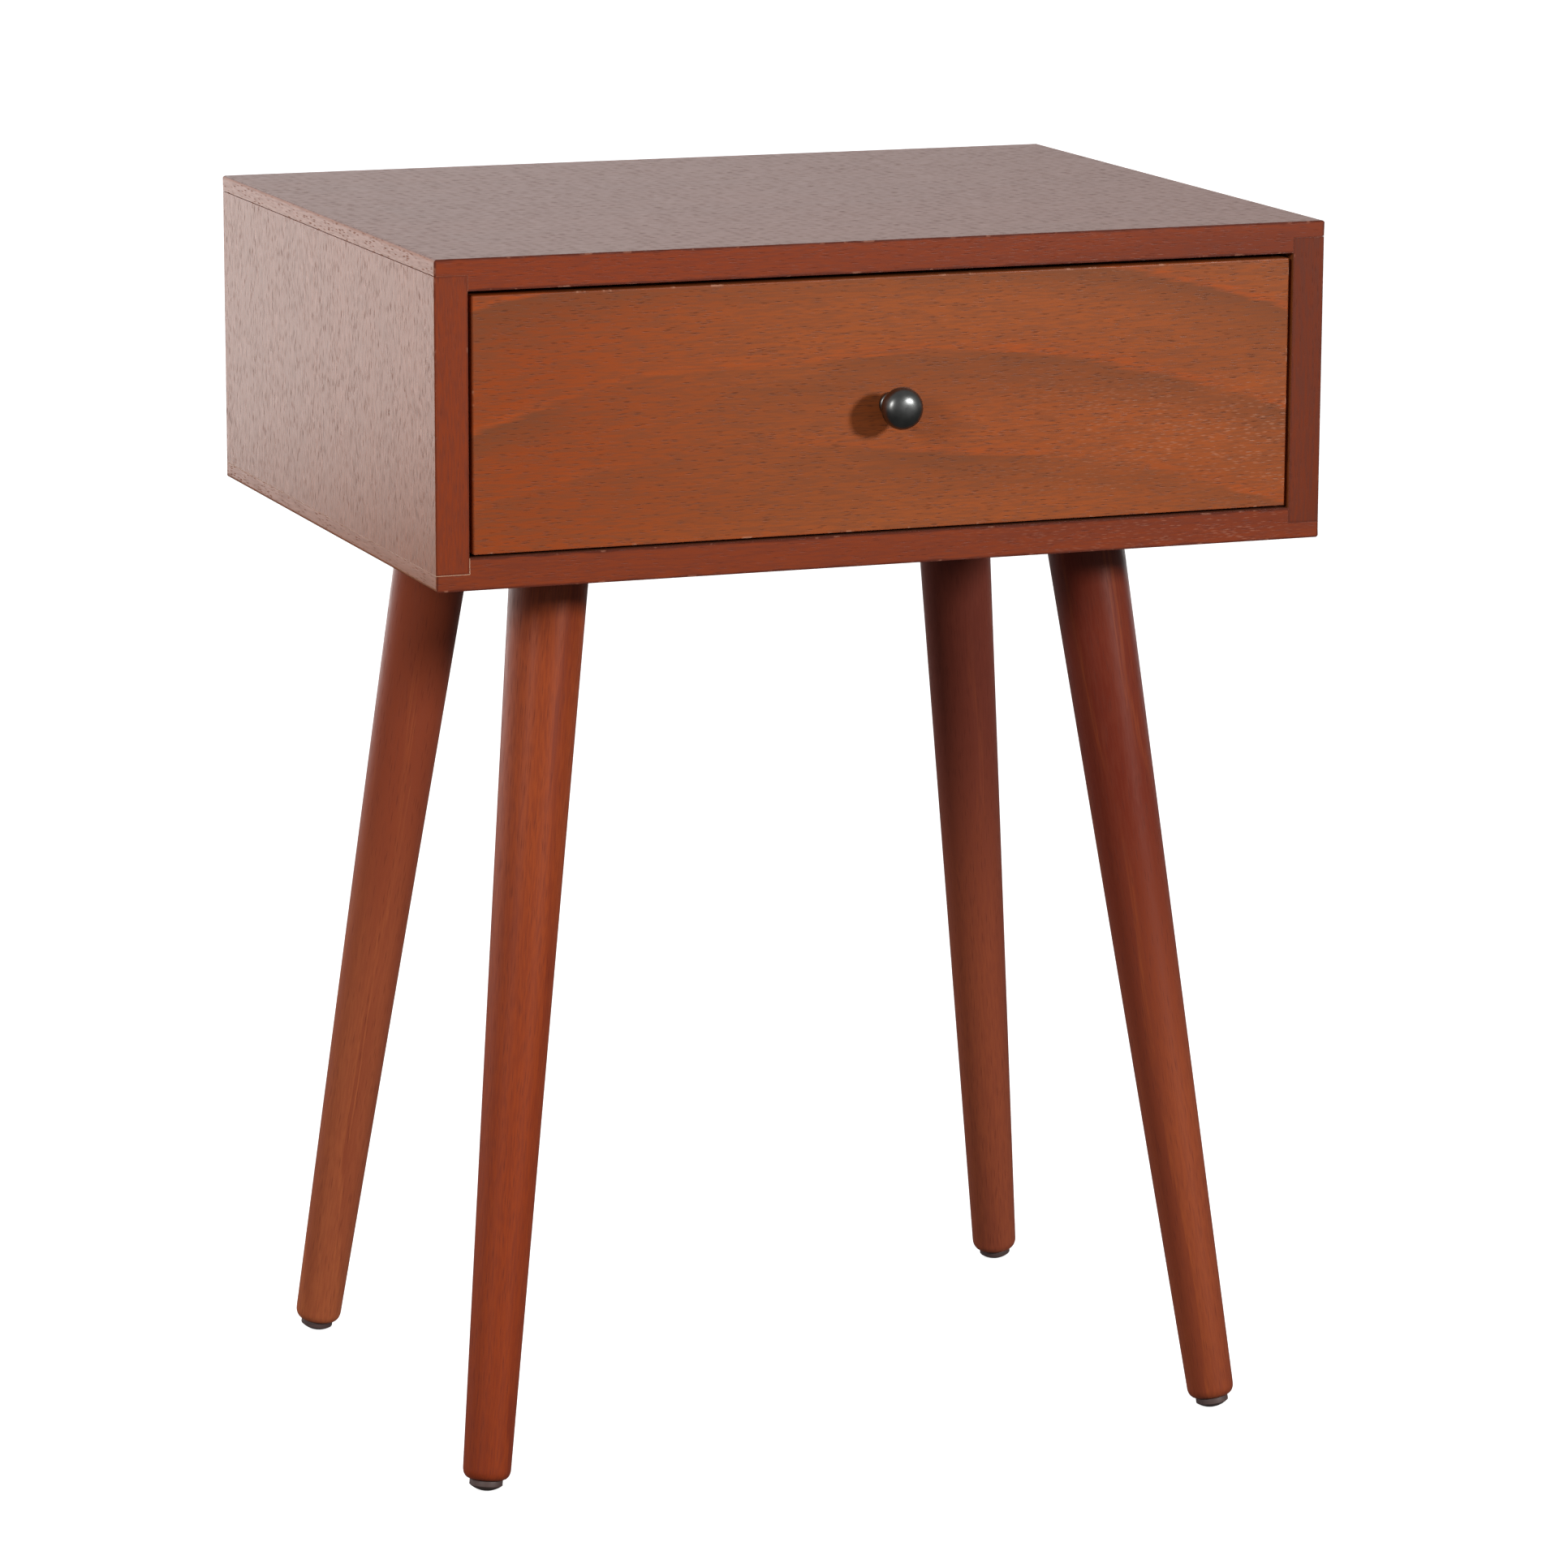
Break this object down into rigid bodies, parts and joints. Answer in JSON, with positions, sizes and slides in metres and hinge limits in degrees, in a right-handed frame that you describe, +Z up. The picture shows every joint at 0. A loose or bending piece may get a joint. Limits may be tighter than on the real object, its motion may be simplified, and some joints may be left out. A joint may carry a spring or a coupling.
{
  "type": "side table with drawer",
  "caption": "Small side table: a veneered case with a drawer on roller slides, standing on splayed, tapered turned legs with screw-on leg plates.",
  "frame": {"origin": "on the floor, under the middle of the table's outer box, with the knob counted in", "axes": "+Z up; the drawer opens towards -Y; +X is the right side of someone who faces the drawer"},
  "size_m": [0.5, 0.415, 0.67],
  "materials": {
    "case_veneer": "satin lacquered red-brown veneer",
    "drawer_veneer": "satin lacquered orange-brown veneer, grain along the width",
    "leg_wood": "satin lacquered solid wood, grain along the leg",
    "drawer_box_wood": "plain pale wood, sealed",
    "back_board": "matte stained plywood",
    "knob_metal": "gunmetal plating, glossy satin",
    "zinc_steel": "zinc plated",
    "slide_enamel": "off-white powder coat",
    "roller_nylon": "natural nylon",
    "glide_plastic": "black moulded plastic"
  },
  "bodies": {
    "case": {"top_panel": "case_veneer", "bottom_panel": "case_veneer", "side_panel_left": "case_veneer", "side_panel_right": "case_veneer", "back_panel": "back_board", "back_pin_left_lower": "zinc_steel", "back_pin_left_upper": "zinc_steel", "back_pin_right_lower": "zinc_steel", "back_pin_right_upper": "zinc_steel", "leg_front_left": "leg_wood", "foot_glide_front_left": "glide_plastic", "hanger_bolt_front_left": "zinc_steel", "leg_plate_front_left": "zinc_steel", "leg_plate_screw_front_left_1": "zinc_steel", "leg_plate_screw_front_left_2": "zinc_steel", "leg_plate_screw_front_left_3": "zinc_steel", "leg_front_right": "leg_wood", "foot_glide_front_right": "glide_plastic", "hanger_bolt_front_right": "zinc_steel", "leg_plate_front_right": "zinc_steel", "leg_plate_screw_front_right_1": "zinc_steel", "leg_plate_screw_front_right_2": "zinc_steel", "leg_plate_screw_front_right_3": "zinc_steel", "leg_rear_left": "leg_wood", "foot_glide_rear_left": "glide_plastic", "hanger_bolt_rear_left": "zinc_steel", "leg_plate_rear_left": "zinc_steel", "leg_plate_screw_rear_left_1": "zinc_steel", "leg_plate_screw_rear_left_2": "zinc_steel", "leg_plate_screw_rear_left_3": "zinc_steel", "leg_rear_right": "leg_wood", "foot_glide_rear_right": "glide_plastic", "hanger_bolt_rear_right": "zinc_steel", "leg_plate_rear_right": "zinc_steel", "leg_plate_screw_rear_right_1": "zinc_steel", "leg_plate_screw_rear_right_2": "zinc_steel", "leg_plate_screw_rear_right_3": "zinc_steel", "case_rail_left": "slide_enamel", "case_rail_screw_left_front": "zinc_steel", "case_rail_screw_left_rear": "zinc_steel", "case_rail_right": "slide_enamel", "case_rail_screw_right_front": "zinc_steel", "case_rail_screw_right_rear": "zinc_steel"},
    "drawer": {"drawer_front": "drawer_veneer", "drawer_side_left": "drawer_box_wood", "drawer_side_right": "drawer_box_wood", "drawer_back": "drawer_box_wood", "drawer_bottom": "drawer_box_wood", "drawer_knob": "knob_metal", "knob_screw": "zinc_steel", "drawer_rail_left": "slide_enamel", "drawer_rail_screw_left_front": "zinc_steel", "drawer_rail_screw_left_rear": "zinc_steel", "drawer_rail_right": "slide_enamel", "drawer_rail_screw_right_front": "zinc_steel", "drawer_rail_screw_right_rear": "zinc_steel"},
    "case_roller_left": {"case_roller_left": "roller_nylon"},
    "drawer_roller_left": {"drawer_roller_left": "roller_nylon"},
    "case_roller_right": {"case_roller_right": "roller_nylon"},
    "drawer_roller_right": {"drawer_roller_right": "roller_nylon"}
  },
  "joints": [
    {"name": "drawer_slide", "type": "slide", "parent": "case", "child": "drawer", "axis": [0, -1, 0], "range_m": [0, 0.26]},
    {"name": "case_roller_left_spin", "type": "hinge", "parent": "case", "child": "case_roller_left", "pos_m": [-0.2252, -0.1489, 0.5305], "axis": [1, 0, 0], "continuous": true},
    {"name": "drawer_roller_left_spin", "type": "hinge", "parent": "drawer", "child": "drawer_roller_left", "pos_m": [-0.2252, 0.1711, 0.5315], "axis": [1, 0, 0], "continuous": true},
    {"name": "case_roller_right_spin", "type": "hinge", "parent": "case", "child": "case_roller_right", "pos_m": [0.2252, -0.1489, 0.5305], "axis": [1, 0, 0], "continuous": true},
    {"name": "drawer_roller_right_spin", "type": "hinge", "parent": "drawer", "child": "drawer_roller_right", "pos_m": [0.2252, 0.1711, 0.5315], "axis": [1, 0, 0], "continuous": true}
  ],
  "couplings": [
    {"joint": "case_roller_left_spin", "follows": "drawer_slide", "rad_per_m": 92.593},
    {"joint": "drawer_roller_left_spin", "follows": "drawer_slide", "rad_per_m": 83.333},
    {"joint": "case_roller_right_spin", "follows": "drawer_slide", "rad_per_m": 92.593},
    {"joint": "drawer_roller_right_spin", "follows": "drawer_slide", "rad_per_m": 83.333}
  ]
}
